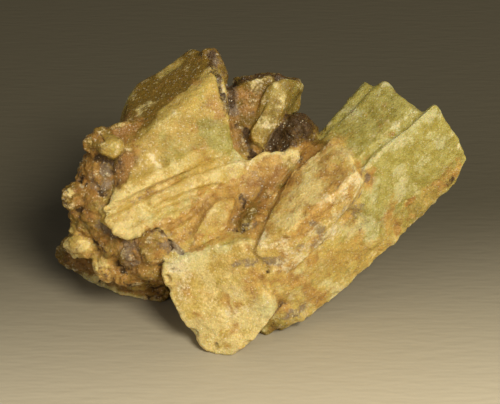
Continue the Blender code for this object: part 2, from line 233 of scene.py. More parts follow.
# The share of each tint; how wavy, stepped, sugary and crusty the surface is; and how sharp the
# crystals' edges are, which is the power of their gauge.
TINTS = ("green", "tan", "pale", "stain", "grey", "dirt_and_shade")
LOOKS = TINTS + ("waves", "steps", "sugar", "crust", "sharpness")
FINISHES = {
    "olive": (0.95, 0.20, 0.00, 0.05, 0.05, 0.02, 0.4, 0.5, 0.5, 0.0, 110),
    "green": (0.95, 0.15, 0.15, 0.00, 0.00, 0.00, 0.4, 0.4, 0.5, 0.0, 110),
    "dark_olive": (0.60, 0.65, 0.05, 0.20, 0.15, 0.20, 0.8, 0.6, 0.8, 0.4, 24),
    "dull": (0.35, 0.36, 0.00, 0.05, 0.00, 0.00, 0.4, 0.25, 0.15, 0.0, 20),
    "dim": (0.60, 0.55, 0.05, 0.10, 0.05, 0.00, 0.5, 0.3, 0.4, 0.1, 18),
    "waxy": (0.15, 0.05, 0.50, 0.08, 0.00, 0.00, 0.4, 0.25, 0.25, 0.0, 24),
    "cream": (0.12, 0.00, 0.65, 0.10, 0.00, 0.00, 0.8, 0.3, 0.8, 0.1, 22),
    "mottled": (0.05, 0.05, 0.50, 0.45, 0.05, 0.00, 0.8, 0.4, 0.9, 0.2, 16),
    "orange": (0.00, 0.00, 0.40, 0.50, 0.00, 0.00, 0.6, 0.4, 0.6, 0.1, 30),
    "rib": (0.10, 0.20, 0.25, 0.32, 0.00, 0.00, 0.9, 0.3, 0.7, 0.1, 6),
    "brown": (0.05, 0.98, 0.00, 0.14, 0.05, 0.20, 0.6, 0.4, 0.6, 0.2, 16),
    "stained": (0.05, 0.30, 0.10, 0.75, 0.05, 0.05, 0.6, 0.4, 0.6, 0.2, 16),
    "tan": (0.10, 0.90, 0.00, 0.25, 0.00, 0.10, 0.3, 0.3, 0.2, 0.0, 20),
    "rusty": (0.00, 0.75, 0.00, 0.65, 0.12, 0.22, 0.9, 0.2, 1.0, 1.0, 9),
    "nodule": (0.00, 0.08, 0.55, 0.35, 0.05, 0.00, 0.8, 0.0, 0.9, 0.8, 9),
    "tan_nodule": (0.00, 0.90, 0.05, 0.40, 0.10, 0.05, 0.8, 0.0, 0.9, 0.7, 9),
    "grey_nodule": (0.50, 0.35, 0.30, 0.10, 0.25, 0.00, 0.9, 0.0, 0.9, 0.6, 9),
    "dark_crust": (0.10, 0.50, 0.15, 0.50, 0.05, 0.10, 1.0, 0.4, 1.0, 0.8, 14),
    "edge_crust": (0.20, 0.80, 0.00, 0.30, 0.40, 0.45, 0.8, 0.4, 0.8, 0.5, 12),
    # The knob's heavy dark dirt is partly its own dark brown and partly painted shadow, where the
    # right-hand stack shades it.
    "knob": (0.10, 0.95, 0.00, 0.30, 0.00, 0.85, 1.0, 0.0, 1.0, 1.0, 9),
}

# Marks on the front. Each has its kind, its amount, its radius in mm, and the places it runs along, in
# pixels of the camera's frame. A groove or a pit is as many mm deep as its amount and a rise as many mm
# high; for the other kinds the amount is a share of that tint.
# Dirt, grey and stain marks that lie along grooves, crevices and cavities are partly dirt and stain and
# partly painted shade in them.
RELIEF = ("groove", "pit", "rise")
# On the big dull facet of the upper left block, its front and its crusted right edge.
BLOCK_MARKS = (
    ("tan", 0.85, 2.7, ((122, 122), (150, 100), (176, 78), (196, 60))),
    ("tan", 0.6, 2.2, ((112, 128), (128, 108), (148, 84), (168, 60), (190, 50))),
    ("tan", 0.6, 1.6, ((138, 122), (160, 104), (186, 82), (206, 62))),
    # A painted warm glow of light on the lower left of the dull facet.
    ("pale", 0.35, 2.0, ((132, 118), (146, 106))),
    ("stain", 0.25, 1.2, ((125, 130), (152, 113), (194, 88), (212, 68))),
    ("stain", 0.3, 1.6, ((137, 150), (155, 156))),
    ("stain", 0.65, 1.8, ((126, 158), (122, 170), (118, 182))),
    ("tan", 0.6, 1.8, ((124, 160), (118, 178))),
    ("frost", 0.6, 0.6, ((152, 157), (156, 162), (158, 168))),
    ("pale", 0.6, 0.9, ((151, 159), (155, 163))),
    ("pale", 0.25, 2.0, ((160, 130), (185, 105), (203, 85))),
    ("green", 0.5, 2.4, ((212, 130), (236, 152))),
    ("stain", 0.4, 1.2, ((208, 92), (216, 104), (222, 112))),
    # The crevice at the block's right edge: its dirt and grey are partly dirt and partly painted shade.
    ("groove", 0.6, 0.7, ((210, 58), (217, 74), (222, 90), (225, 110))),
    ("dirt_and_shade", 0.55, 0.9, ((208, 56), (216, 72), (221, 88), (225, 108))),
    ("grey", 0.5, 0.8, ((214, 62), (220, 80), (226, 96))),
)
# On the waxy ridges below the block and the ribs under them.
RIDGE_MARKS = (
    ("groove", 1.1, 0.8, ((88, 220), (106, 213), (116, 209), (128, 204), (138, 198), (150, 192),
     (162, 185), (178, 179), (192, 171), (206, 162))),
    # Stain and grey along the groove: partly stain, partly painted shade in it.
    ("stain", 0.35, 0.7, ((122, 207), (138, 199), (150, 192), (162, 185), (178, 179))),
    ("grey", 0.4, 0.8, ((128, 204), (138, 199), (150, 192), (162, 186))),
    ("rise", 0.7, 1.5, ((116, 199), (132, 190), (152, 180), (178, 166), (196, 156))),
    ("rise", 0.6, 1.3, ((156, 200), (176, 191), (196, 182), (218, 176))),
    ("groove", 0.7, 0.6, ((150, 212), (165, 203), (183, 197), (197, 192), (207, 188), (220, 187),
     (238, 181))),
    ("stain", 0.8, 0.55, ((200, 191), (210, 188), (222, 186), (240, 180))),
    ("rise", 0.6, 0.9, ((118, 230), (128, 235), (138, 230), (150, 219), (168, 208), (190, 200))),
    ("groove", 0.3, 0.5, ((146, 219), (156, 211), (164, 206))),
    ("groove", 0.6, 0.55, ((160, 226), (168, 227), (178, 222), (190, 214), (198, 208), (212, 194))),
    ("stain", 0.7, 0.7, ((148, 231), (160, 225), (180, 222), (192, 214), (206, 200), (214, 193))),
    ("green", 0.4, 1.0, ((150, 222), (168, 212), (190, 204), (206, 194))),
    ("stain", 0.7, 1.5, ((208, 202), (222, 196), (232, 192))),
    ("stain", 0.35, 0.9, ((194, 226), (200, 212), (214, 202))),
    ("stain", 0.35, 0.9, ((214, 240), (226, 230), (234, 214))),
    ("stain", 0.6, 1.0, ((194, 240), (198, 250))),
    ("pale", 0.9, 1.6, ((110, 196), (118, 200))),
    ("pale", 0.7, 1.4, ((124, 230), (130, 236))),
    ("pale", 0.4, 1.6, ((130, 190), (165, 175), (190, 160))),
    ("dirt_and_shade", 0.56, 0.9, ((141, 236), (151, 230), (160, 226))),
)
# On the top cluster and the crevices round it.
TOP_MARKS = (
    # Dirt in the crevices round the top cluster: partly dirt, partly painted shade.
    ("dirt_and_shade", 0.63, 1.1, ((226, 96), (230, 112))),
    ("grey", 0.3, 0.9, ((238, 142), (247, 152), (248, 172))),
    ("stain", 0.3, 1.6, ((236, 92), (258, 98), (250, 112))),
    ("groove", 0.42, 0.6, ((270, 92), (262, 108), (253, 121), (246, 140))),
    ("dirt_and_shade", 0.56, 1.4, ((240, 76), (262, 76), (296, 80))),
    ("pale", 0.2, 1.3, ((281, 86), (272, 108), (259, 136))),
    ("green", 0.8, 1.6, ((294, 84), (296, 100), (287, 115))),
    ("pale", 0.5, 0.8, ((280, 116), (286, 124))),
    ("grey", 0.6, 1.1, ((274, 140), (282, 150), (276, 128))),
    ("frost", 0.25, 1.4, ((240, 108), (268, 96))),
    ("grey", 0.6, 1.1, ((228, 70), (232, 90), (236, 110))),
    ("dirt_and_shade", 0.45, 0.8, ((227, 76), (230, 92), (234, 106))),
    ("frost", 0.6, 0.35, ((229, 72), (234, 88), (232, 104))),
    ("frost", 0.6, 0.5, ((224, 84), (228, 98), (231, 112))),
    ("frost", 0.5, 0.5, ((236, 124), (243, 134), (240, 146))),
    ("frost", 0.7, 0.4, ((246, 150), (251, 160), (247, 172))),
    ("dirt_and_shade", 0.45, 0.7, ((238, 128), (247, 144), (252, 156))),
    ("frost", 0.7, 1.0, ((268, 124), (278, 132), (290, 122))),
)
# On the chunk, the seam and the cavity in the middle.
MIDDLE_MARKS = (
    ("pale", 0.2, 2.0, ((268, 160), (294, 158))),
    ("stain", 0.3, 2.6, ((256, 176), (278, 168))),
    ("groove", 0.42, 0.6, ((303, 156), (286, 177), (270, 193), (250, 208))),
    ("pit", 0.25, 2.0, ((240, 216), (254, 212))),
    ("dirt_and_shade", 0.18, 1.8, ((242, 216), (260, 208))),
    ("dirt_and_shade", 0.3, 1.0, ((262, 205), (283, 190), (296, 178))),
    ("stain", 0.8, 1.6, ((312, 150), (290, 178), (270, 206), (258, 230))),
    ("tan", 0.5, 1.0, ((268, 178), (282, 168), (296, 158))),
    ("tan", 0.5, 0.8, ((256, 184), (270, 176), (286, 166))),
    ("tan", 0.8, 1.3, ((272, 184), (262, 198), (250, 210))),
    ("tan", 0.5, 0.8, ((250, 180), (262, 190))),
    ("stain", 0.6, 1.1, ((246, 192), (264, 182), (286, 174))),
    ("grey", 0.45, 0.7, ((252, 172), (262, 182), (258, 196))),
)
# On the orange slab on the right-hand stack.
SLAB_MARKS = (
    ("stain", 0.3, 3.2, ((326, 152), (336, 178), (306, 206), (280, 226))),
    ("stain", 0.25, 2.4, ((350, 152), (358, 178), (340, 196))),
    # Painted light: the slab's top is made paler against the shade that its tilt gets from the lamp.
    ("pale", 0.2, 3.0, ((302, 178), (322, 164), (346, 152))),
    ("frost", 0.36, 2.4, ((334, 196), (350, 188), (358, 180))),
    ("frost", 0.35, 2.0, ((296, 244), (322, 230), (344, 208))),
    ("tan", 0.5, 1.6, ((318, 144), (300, 164), (282, 184))),
    ("pit", 0.36, 1.5, ((345, 214), (358, 216))),
    ("grey", 0.45, 1.6, ((343, 214), (356, 204), (362, 222))),
    ("dirt_and_shade", 0.28, 1.2, ((352, 222), (362, 224))),
    ("groove", 0.42, 0.7, ((306, 210), (298, 232))),
    ("dirt_and_shade", 0.15, 0.9, ((305, 212), (297, 234))),
    ("stain", 0.6, 2.0, ((284, 246), (308, 224), (326, 206))),
    ("pale", 0.4, 2.8, ((286, 214), (312, 190))),
    ("grey", 0.6, 1.0, ((316, 224), (326, 236))),
)
# On the green plates of the right-hand stack.
PLATE_MARKS = (
    ("groove", 0.3, 0.45, ((364, 164), (367, 178), (362, 196))),
    # Grey along the slab's end: partly a crack, partly painted shadow under its ledge.
    ("grey", 0.8, 0.5, ((365, 166), (367, 180), (361, 196))),
    ("stain", 0.5, 1.2, ((371, 170), (371, 186))),
    ("green", 0.7, 2.4, ((376, 184), (372, 204), (376, 226))),
    ("pale", 0.35, 1.3, ((377, 176), (372, 196), (364, 214), (372, 232))),
    ("stain", 0.4, 1.4, ((388, 214), (394, 196))),
    ("pale", 0.5, 1.3, ((424, 118), (404, 134), (384, 152), (370, 164))),
    ("pale", 0.7, 0.6, ((434, 112), (404, 134), (374, 163))),
    ("pale", 0.4, 1.8, ((416, 128), (396, 150))),
    ("pale", 0.5, 1.4, ((402, 172), (406, 188), (398, 196))),
    ("green", 0.6, 3.0, ((440, 140), (430, 165))),
    ("green", 0.5, 2.0, ((396, 164), (388, 172))),
    ("pit", 0.3, 0.8, ((407, 203),)),
    ("stain", 0.8, 0.9, ((409, 203),)),
    ("pale", 1.0, 0.35, ((407, 203),)),
    ("groove", 0.12, 0.35, ((412, 196), (424, 188))),
    ("stain", 0.9, 0.8, ((398, 228),)),
    ("stain", 0.5, 1.0, ((456, 130), (464, 152), (458, 172))),
    ("dirt_and_shade", 0.35, 0.8, ((452, 178), (444, 184))),
)
# On the lower half of the right-hand stack.
STACK_FOOT_MARKS = (
    ("frost", 0.4, 2.4, ((286, 262), (312, 250), (336, 228))),
    ("frost", 0.45, 1.6, ((262, 238), (284, 246), (300, 262))),
    ("grey", 0.6, 0.9, ((238, 264), (258, 257), (286, 258))),
    ("stain", 0.25, 1.6, ((282, 262), (312, 262))),
    ("stain", 0.6, 1.3, ((306, 286), (322, 298))),
    ("stain", 0.3, 1.4, ((296, 280), (318, 270))),
    ("grey", 0.6, 1.2, ((290, 318), (304, 308))),
    ("grey", 0.5, 1.6, ((300, 252), (322, 244))),
)
# On the fishtail plate.
FISHTAIL_MARKS = (
    ("frost", 0.5, 1.6, ((176, 262), (186, 276), (180, 292))),
    ("frost", 0.4, 1.4, ((224, 320), (246, 306))),
    ("pit", 0.42, 0.7, ((266, 269),)),
    ("dirt_and_shade", 0.63, 0.7, ((266, 269),)),
    ("groove", 0.21, 0.5, ((262, 262), (259, 276), (265, 292), (270, 304))),
    ("green", 0.5, 1.6, ((264, 300), (272, 312))),
    ("stain", 0.5, 0.9, ((204, 293), (207, 298))),
    ("pit", 0.9, 1.1, ((190, 335),)),
    ("pit", 1.1, 0.9, ((166, 294),)),
    ("pit", 1.1, 0.8, ((167, 280),)),
    ("pit", 1.0, 1.0, ((176, 316),)),
    ("pit", 0.5, 0.8, ((246, 343),)),
    ("pit", 0.4, 0.8, ((268, 322),)),
    ("stain", 0.45, 0.8, ((186, 290), (192, 300))),
    ("stain", 0.45, 0.9, ((224, 300), (232, 312))),
    ("stain", 0.5, 0.7, ((196, 312), (204, 318))),
    ("stain", 0.45, 0.8, ((228, 334), (236, 328))),
    ("stain", 0.5, 0.8, ((240, 304),)),
    ("tan", 0.12, 4.0, ((200, 328), (240, 322))),
    ("pit", 0.24, 0.6, ((214, 346),)),
    ("dirt_and_shade", 0.56, 0.7, ((214, 346),)),
    ("green", 0.5, 1.3, ((186, 254), (214, 248), (244, 238))),
    ("pale", 0.5, 2.0, ((172, 268), (196, 262))),
)
# On the nodules and the crust on the left, and the wedge below.
CRUST_MARKS = (
    ("dirt_and_shade", 0.5, 1.2, ((114, 166), (118, 182))),
    ("grey", 0.6, 1.2, ((166, 246), (180, 252))),
    ("frost", 0.35, 0.9, ((112, 144), (116, 150))),
    ("dirt_and_shade", 0.49, 1.2, ((100, 160), (118, 166))),
    ("grey", 0.6, 1.1, ((100, 226), (112, 234))),
    ("grey", 0.6, 1.3, ((124, 244), (132, 262))),
    ("pit", 0.54, 0.7, ((124, 270),)),
    ("dirt_and_shade", 0.7, 0.8, ((124, 270),)),
    ("pit", 0.4, 2.0, ((142, 288), (160, 290))),
    # Painted shadow: the shadow that the fishtail plate casts on the wedge, laid on as dirt.
    ("dirt_and_shade", 0.25, 2.4, ((138, 290), (162, 290))),
    # A painted highlight at the tip of a nodule.
    ("pale", 0.9, 0.9, ((84, 247),)),
    ("pale", 0.65, 1.2, ((84, 278), (112, 292), (138, 301))),
    ("tan", 0.35, 2.4, ((58, 254), (80, 270), (106, 284))),
    ("dirt_and_shade", 0.2, 1.8, ((68, 254), (88, 268), (98, 276))),
    ("grey", 0.45, 1.2, ((100, 168), (106, 178), (98, 186))),
    ("grey", 0.4, 1.3, ((124, 232), (134, 250), (130, 264))),
    ("pale", 0.6, 0.8, ((71, 192),)),
)
MARKS = (
    BLOCK_MARKS + RIDGE_MARKS + TOP_MARKS + MIDDLE_MARKS + SLAB_MARKS
    + PLATE_MARKS + STACK_FOOT_MARKS + FISHTAIL_MARKS + CRUST_MARKS
)

# ---------------------------------------------------------------- repeatable noise

PRIMES = (73856093, 19349663, 83492791)
SALT_PRIME = 2654435761
STIRRING = 0x45D9F3B
ALL_BITS = 0xFFFFFFFF
SKEW = np.array(((0.36, 0.48, -0.80), (-0.80, 0.60, 0.00), (0.48, 0.64, 0.60)))
NOISE_APART, GRAINS_APART = 17.3, 5.1  # how far each salt moves the cells, in cells
FAR = 9.0  # further than any seed, in cells


def hashed(cell, salt):
    """Random numbers from 0 to 1 for whole-number cells: their coordinates times large primes, stirred."""
    x, y, z = (cell[..., axis].astype(np.int64) * PRIMES[axis] for axis in range(3))
    bits = (x ^ y ^ z ^ (salt * SALT_PRIME)) & ALL_BITS
    for _ in range(2):
        bits = ((bits ^ (bits >> 16)) * STIRRING) & ALL_BITS
    return (bits ^ (bits >> 16)) / ALL_BITS


def soft_noise(points, size, salt):
    """Smooth noise from -1 to 1: random values at the corners of skewed cells, eased between them."""
    places = points @ SKEW.T / size + NOISE_APART * salt
    cell = np.floor(places)
    share = places - cell
    share = share * share * share * (share * (share * 6 - 15) + 10)
    total = np.zeros(len(points))
    for corner in range(8):
        step = np.array((corner & 1, corner >> 1 & 1, corner >> 2))
        weight = np.where(step, share, 1 - share).prod(1)
        total += weight * hashed(cell + step, salt)
    return total * 2 - 1


def layered(points, size, salt, octaves=3):
    """Soft noise plus the same at half the size and half the strength, and so on."""
    return sum(soft_noise(points, size / 2**i, salt + i) / 2**i for i in range(octaves))


def wander(points, size, salt):
    """A smooth random shift for each point: one layered noise along each of the three directions."""
    return np.stack([layered(points, size, salt + 5 * axis, 2) for axis in range(3)], 1)


def grains(points, size, salt):
    """Cells round scattered seeds: distance to the nearest seed and how much nearer it is than the next,
    in cells; the height of a plane that is tilted at random in each cell; and a random number."""
    places = points @ SKEW.T / size + GRAINS_APART * salt
    base = np.floor(places)
    near = np.full(len(points), FAR)
    following = near.copy()
    tilt = np.zeros(len(points))
    pick = np.zeros(len(points))
    for step in np.ndindex(3, 3, 3):
        cell = base + step - 1
        seed = np.stack([hashed(cell, salt + i) for i in range(3)], 1)
        offset = places - cell - seed
        distance = np.sqrt((offset * offset).sum(1))
        first = distance < near
        following = np.where(first, near, np.minimum(following, distance))
        near = np.where(first, distance, near)
        slant = (offset * (np.roll(seed, 1, 1) - 0.5)).sum(1)
        tilt = np.where(first, slant, tilt)
        pick = np.where(first, seed[:, 0], pick)
    return near, following - near, tilt, pick


def ease(low, high, value):
    """0 below low, 1 above high, and a smooth step between."""
    share = np.clip((value - low) / (high - low), 0, 1)
    return share * share * (3 - 2 * share)


# ---------------------------------------------------------------- crystals as flat faces and as surfaces


def family_axes(family):
    """Rows: a family's long side, its upward side and its front normal."""
    heading, lean, rise = (math.radians(angle) for angle in FAMILIES[family])
    upright = math.cos(lean)
    normal = np.array((math.sin(heading) * upright, -math.cos(heading) * upright, math.sin(lean)))
    level = np.array((math.cos(heading), math.sin(heading), 0))
    along = level * math.cos(rise) + np.cross(normal, level) * math.sin(rise)
    return np.array((along, np.cross(normal, along), normal))


def floor_share(rays, centre):
    """How many times over a ray from the centre reaches past the floor."""
    return np.maximum(-rays[:, 2] / centre[2], 0)


class Crystal:
    """Flat faces round a centre: each has a normal and a distance, and the floor is one of them."""

    def __init__(self, finish, family, centre, reach, cuts):
        self.finish, self.centre = finish, np.array(centre, float)
        self.power = FINISHES[finish][-1]
        self.axes = family_axes(family)
        left, right, down, up, front, back = reach
        self.low = np.array((left, down, back))
        self.high = np.array((right, up, front))
        normals = [row for axis in np.eye(3) for row in (axis, -axis)]
        distances = [right, left, up, down, front, back]
        for direction, slope, distance in cuts:
            turn, tip = math.radians(direction), math.radians(slope)
            normals.append((math.cos(turn) * math.cos(tip), math.sin(turn) * math.cos(tip), math.sin(tip)))
            distances.append(distance)
        self.normals = np.array(normals) @ self.axes
        self.distances = np.array(distances, float)

    def outside(self, points):
        """How far each point is outside the face it is furthest outside, in mm."""
        return ((points - self.centre) @ self.normals.T - self.distances).max(1)

    def gauge(self, rays):
        """How many times over a ray from the centre reaches past the faces: a high power mean."""
        share = np.maximum(rays @ self.normals.T / self.distances, 0)
        faces = (share**self.power).sum(1) ** (1 / self.power)
        return (faces**FLOOR_POWER + floor_share(rays, self.centre) ** FLOOR_POWER) ** (1 / FLOOR_POWER)


class Nodule:
    """A ball stretched to its half sizes, cut by the floor."""

    def __init__(self, finish, centre, half_sizes):
        self.finish, self.centre = finish, np.array(centre, float)
        self.half = np.ones(3) * half_sizes
        self.low = self.high = self.half
        self.axes = np.eye(3)

    def outside(self, points):
        """Distance from the ball, measured along its shortest half size."""
        return (np.linalg.norm((points - self.centre) / self.half, axis=1) - 1) * self.half.min()

    def gauge(self, rays):
        """The ray's length in half sizes, or its share of the way to the floor."""
        ball = np.linalg.norm(rays / self.half, axis=1)
        return (ball**FLOOR_POWER + floor_share(rays, self.centre) ** FLOOR_POWER) ** (1 / FLOOR_POWER)


def box_grid(counts):
    """The surface of a box that runs from -1 to 1 each way: six grids of two parameters each, welded."""
    points, quads, total = [], [], 0
    for axis in range(3):
        across, upward = (axis + 1) % 3, (axis + 2) % 3
        s, t = np.meshgrid(np.arange(counts[across] + 1), np.arange(counts[upward] + 1), indexing="ij")
        for end in (0, counts[axis]):
            side = np.zeros((s.size, 3), int)
            side[:, axis], side[:, across], side[:, upward] = end, s.ravel(), t.ravel()
            index = np.arange(s.size).reshape(s.shape) + total
            quad = np.stack((index[:-1, :-1], index[1:, :-1], index[1:, 1:], index[:-1, 1:]), -1)
            quad = quad.reshape(-1, 4)
            quads.append(quad if end else quad[:, ::-1])
            points.append(side)
            total += s.size
    corners, welded = np.unique(np.concatenate(points), axis=0, return_inverse=True)
    return corners / np.array(counts) * 2 - 1, welded.reshape(-1)[np.concatenate(quads)]


def grown_surface(crystal):
    """A crystal's surface: a ray to each point of a box around it, divided by the ray's gauge."""
    counts = np.maximum((crystal.low + crystal.high) / GRID_STEP, FEWEST_STEPS).astype(int)
    box, quads = box_grid(counts)
    rays = np.where(box < 0, box * crystal.low, box * crystal.high) @ crystal.axes
    return crystal.centre + rays / crystal.gauge(rays)[:, None], quads


def group(crystals, nodules):
    """The crystals and nodules of one piece."""
    return [Crystal(*row) for row in crystals.values()] + [Nodule(*row) for row in nodules.values()]


GROUPS = {
    "right_crystal_stack": group(RIGHT_STACK, ARM_FILLS),
    "upper_left_block": group(UPPER_BLOCK, KNOB_AND_SEAM),
    "left_crust": group(LEFT_WEDGE, LEFT_CRUST),
    "rear_matrix": group(REAR, REAR_CRUST),
}
ALL = [crystal for members in GROUPS.values() for crystal in members]
FINISH_TABLE = np.array([FINISHES[crystal.finish] for crystal in ALL])

# ---------------------------------------------------------------- marks on the surface


def seen_point(x, y):
    """The point of the crystals that the camera sees there: it steps along the ray by the distance left."""
    ray = CAMERA_RIGHT * (x - FRAME_WIDTH / 2) + CAMERA_UP * (FRAME_HEIGHT / 2 - y)
    ray = ray * SENSOR / LENS / FRAME_WIDTH - TO_CAMERA
    ray /= np.linalg.norm(ray)
    place = CAMERA_PLACE + ray * (CAMERA_DISTANCE - RAY_START)
    for _ in range(MOST_STEPS):
        left = min(crystal.outside(place[None])[0] for crystal in ALL)
        left = min(left, LONGEST_STEP)
        if left < TOUCHING or place[2] < 0:
            break
        place = place + ray * left
    return place


MARKED = [
    (kind, amount, radius, [seen_point(*spot) for spot in spots])
    for kind, amount, radius, spots in MARKS
]
MARK_CORE, MARK_REACH = 0.35, 1.15  # a mark is whole up to the first and gone at the second, in radii
THINNEST = 0.25  # a groove's radius at its ends, as a share of the radius along it
THINS = (0.2, 0.3)  # the shares of its length over which it gets thinner, at its start and at its end
FADES = (0.25, 0.4)  # and over which it fades out
FADE_LEAD = -0.1  # where the fade at the start begins, a little before the groove does
TINY = 1e-9  # keeps a path of one point from dividing by nothing


def nearness(points, radius, path, tapers):
    """1 on a path of straight lengths, easing to 0 past the radius. A path that tapers gets thinner and
    fades out towards its two ends."""
    closest = np.full(len(points), np.inf)
    travelled = np.zeros(len(points))
    total = 0.0
    for start, end in zip(path, path[1:] or path):
        run = end - start
        share = np.clip((points - start) @ run / max(run @ run, TINY), 0, 1)
        distance = np.linalg.norm(points - start - share[:, None] * run, axis=1)
        length = np.linalg.norm(run)
        travelled = np.where(distance < closest, total + share * length, travelled)
        closest = np.minimum(closest, distance)
        total += length
    fade = 1.0
    if tapers:
        travelled /= max(total, TINY)
        left = 1 - travelled
        whole = ease(0, THINS[0], travelled) * ease(0, THINS[1], left)
        radius = radius * (THINNEST + (1 - THINNEST) * whole)
        fade = ease(FADE_LEAD, FADES[0], travelled) * ease(0, FADES[1], left)
    return (1 - ease(MARK_CORE, MARK_REACH, closest / radius)) * fade


def marks_at(points):
    """The marks' amounts at each point. Tints lie on a slightly shaken grid, so that their rims are
    ragged; relief is not shaken."""
    shaken = points + wander(points, *MARK_RIM) * MARK_SHAKE
    found = {kind: np.zeros(len(points)) for kind in TINTS + ("frost",) + RELIEF}
    for kind, amount, radius, path in MARKED:
        places = points if kind in RELIEF else shaken
        near = np.zeros(len(points))
        middle = np.mean(path, axis=0)
        extent = max(np.linalg.norm(spot - middle) for spot in path) + MARK_REACH * radius
        close = np.linalg.norm(places - middle, axis=1) < extent
        near[close] = nearness(places[close], radius, path, kind == "groove")
        found[kind] = np.maximum(found[kind], near * amount)
    return found


# ---------------------------------------------------------------- grown together, roughened and tinted


def array_mesh(name, points, faces):
    """A mesh of the points and faces of two arrays."""
    mesh = bpy.data.meshes.new(name)
    mesh.from_pydata(points, [], faces)
    mesh.update()
    return mesh


def arrays_of(mesh):
    """A mesh's points and their normals."""
    points = np.zeros(len(mesh.vertices) * 3, np.float32)
    normals = np.zeros(len(mesh.vertices) * 3, np.float32)
    mesh.vertices.foreach_get("co", points)
    mesh.vertex_normals.foreach_get("vector", normals)
    return points.reshape(-1, 3).astype(float), normals.reshape(-1, 3).astype(float)


def place_points(mesh, points):
    """Puts a mesh's points at the rows of an array."""
    mesh.vertices.foreach_set("co", points.astype(np.float32).ravel())
    mesh.update()


def skinned(name, mesh, voxel):
    """One skin round everything in a mesh, as fine as the voxel; the mesh itself is used up."""
    blank = bpy.data.objects.new("blank", mesh)
    bpy.context.scene.collection.objects.link(blank)
    skin = blank.modifiers.new("skin", "REMESH")
    skin.mode = "VOXEL"
    skin.voxel_size = voxel
    result = bpy.data.meshes.new_from_object(blank.evaluated_get(bpy.context.evaluated_depsgraph_get()))
    result.name = name
    bpy.data.objects.remove(blank, do_unlink=True)
    bpy.data.meshes.remove(mesh)
    return result


def shifted(mesh, distance):
    """Moves a mesh's points along their normals, except where they lie on the floor."""
    points, normals = arrays_of(mesh)
    moved = points + normals * distance
    moved[:, 2] = np.where(points[:, 2] < SHIFT_FLOOR, points[:, 2], np.maximum(moved[:, 2], 0))
    place_points(mesh, moved)
    return mesh


def grown_together(name, crystals, voxel):
    """One skin round several crystals. It is swelled and shrunk again, which fills the clefts in it."""
    points, quads, total = [], [], 0
    for crystal in crystals:
        surface, faces = grown_surface(crystal)
        points.append(surface)
        quads.append(faces + total)
        total += len(surface)
    mesh = skinned(name, array_mesh("blank", np.concatenate(points), np.concatenate(quads)), voxel)
    mesh = skinned(name, shifted(mesh, CLEFT), voxel)
    return skinned(name, shifted(mesh, -CLEFT), voxel)


def survey(points, crystals):
    """For each point: the blended finish of the crystals there; the fillet, which is what a soft minimum
    of the distances to this group and to the others adds; and how close the other groups are."""
    heights = np.array([crystal.outside(points) for crystal in ALL])
    share = np.exp(-(heights - heights.min(0)) / FINISH_BLEND)
    share /= share.sum(0)
    looks = dict(zip(LOOKS, (share.T @ FINISH_TABLE).T))
    mine = np.array([crystal in crystals for crystal in ALL])
    others = heights[~mine].min(0) - heights[mine].min(0)
    beyond = np.maximum(others, 0)
    fillet = FILLET * np.log1p(np.exp(-beyond / FILLET)) * ease(-FILLET_DEPTH, 0, others)
    return looks, fillet, np.exp(-beyond / CREVICE_REACH)


def bulge(mesh, points, normals, voxel):
    """How far each point stands out from the surface smoothed over the edges' reach: more than 0 on an
    edge, less in a hollow. Each round of smoothing moves every point to the mean of its neighbours."""
    pairs = np.zeros(len(mesh.edges) * 2, np.int32)
    mesh.edges.foreach_get("vertices", pairs)
    start, end = pairs.reshape(-1, 2).T
    ends, starts = np.concatenate((start, end)), np.concatenate((end, start))
    degree = np.bincount(ends, minlength=len(points))[:, None]
    smooth = points
    for _ in range(int((EDGE_REACH / voxel) ** 2)):
        sums = [np.bincount(ends, smooth[starts, axis], len(points)) for axis in range(3)]
        smooth = np.stack(sums, 1) / degree
    return ((points - smooth) * normals).sum(1)


def growth_terraces(points):
    """Growth steps: a layered noise rounded down to whole numbers, with a short ramp between them."""
    climb = layered(points * TERRACE_STRETCH, *TERRACE, 2) * TERRACES
    step = np.floor(climb)
    return step + ease(*TERRACE_RAMP, climb - step)


def facets(points, cells, lean, fall, groove=0.0):
    """Grains, in mm: the tilted plane of each cell, less its distance from the seed, less a thin groove
    between cells."""
    near, gap, tilt, _ = grains(points, *cells)
    return lean * tilt - fall * (near - 0.5) - groove * (1 - ease(0.0, 0.18, gap))


def domes(points, cells, rise, least, more, lean):
    """Lumps, in mm: each falls with the square of the distance from its seed, is higher by its random
    number, and leans by its cell's tilted plane. Also the creases between them, and that number."""
    near, gap, tilt, pick = grains(points, *cells)
    height = rise * (0.45 - near * near) * (least + more * pick) + lean * tilt
    return height, 1 - ease(0.0, CREASE_GAP, gap), pick


def crust_lumps(points):
    """Large lumps in bent cells, small ones on them and a rough skin, in mm; and how deep each point lies
    in a crease, where only some of the large lumps have one."""
    bent = points + wander(points, *LUMP_WARP) * WARP
    large, large_crease, pick = domes(bent, LUMPS, rise=0.35, least=0.5, more=1.0, lean=0.3)
    small, small_crease, _ = domes(bent, SMALL_LUMPS, rise=0.45, least=0.3, more=1.2, lean=0.35)
    crease = large_crease * ease(0.3, 0.7, pick) + 0.7 * small_crease
    return large + small + LUMP_SKIN_HEIGHT * layered(points, *LUMP_SKIN), crease


def settled(points, moved):
    """Takes back what the points near the floor were moved, all of it upwards and most of it sideways, so
    that the base stays flat."""
    standing = ease(0.0, BASE_HEIGHT, points[:, 2:])
    sideways = SIDEWAYS_KEPT + (1 - SIDEWAYS_KEPT) * standing
    share = np.where((False, False, True), standing, sideways)
    moved = points + (moved - points) * share
    moved[:, 2] = np.where(points[:, 2] < FLAT_BASE, 0.0, np.maximum(moved[:, 2], 0.0))
    return moved


